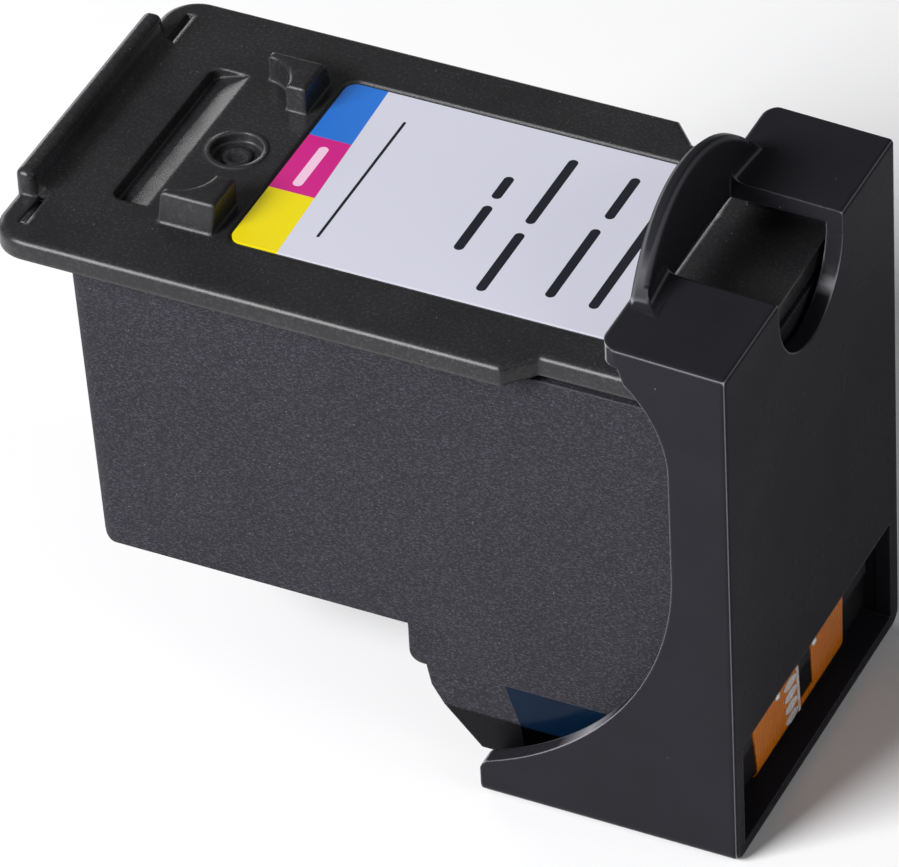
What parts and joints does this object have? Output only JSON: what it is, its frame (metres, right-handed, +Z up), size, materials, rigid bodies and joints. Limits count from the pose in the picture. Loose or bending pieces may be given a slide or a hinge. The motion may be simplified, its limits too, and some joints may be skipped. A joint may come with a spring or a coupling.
{
  "type": "inkjet ink cartridge",
  "caption": "Tri-colour inkjet cartridge with flanged lid, stepped nose and print head, held in a slide-off protective clip with a thumb tab.",
  "frame": {"origin": "bottom centre of the part's box, under the middle of its length on the clip's underside", "axes": "+X from the lid's rear edge to the front of the clip, +Y across to the far side, +Z up"},
  "size_m": [0.0634, 0.034, 0.0556],
  "materials": {
    "housing_plastic": "fine sand-blasted black moulding",
    "lid_plastic": "satin black moulding",
    "clip_plastic": "smooth satin black moulding",
    "label_film": "printed film with three colour bands",
    "foam_magenta_ink": "ink-filled foam",
    "foam_yellow_ink": "ink-filled foam",
    "foam_cyan_ink": "ink-filled foam",
    "filter_mesh": "woven steel mesh",
    "head_ceramic": "plain ceramic",
    "die_silicon": "polished silicon",
    "nozzle_metal": "thin plated sheet",
    "bead_resin": "cured resin",
    "flex_film": "clear orange film with traces under it",
    "pad_metal": "bright plated copper",
    "tape_film": "smooth blue film"
  },
  "bodies": {
    "cartridge": {"housing": "housing_plastic", "lid": "lid_plastic", "label": "label_film", "foam_rear": "foam_magenta_ink", "foam_near": "foam_yellow_ink", "foam_far": "foam_cyan_ink", "filter_rear": "filter_mesh", "filter_near": "filter_mesh", "filter_far": "filter_mesh", "head_plate": "head_ceramic", "print_head_die": "die_silicon", "nozzle_plate": "nozzle_metal", "encapsulant_beads": "bead_resin", "flex_circuit": "flex_film", "contact_pads": "pad_metal", "test_pads": "pad_metal", "nozzle_tape": "tape_film"},
    "clip": {"transport_clip": "clip_plastic"}
  },
  "joints": [
    {"name": "clip_pull", "type": "slide", "parent": "cartridge", "child": "clip", "axis": [1, 0, 0], "range_m": [0, 0.03]}
  ]
}
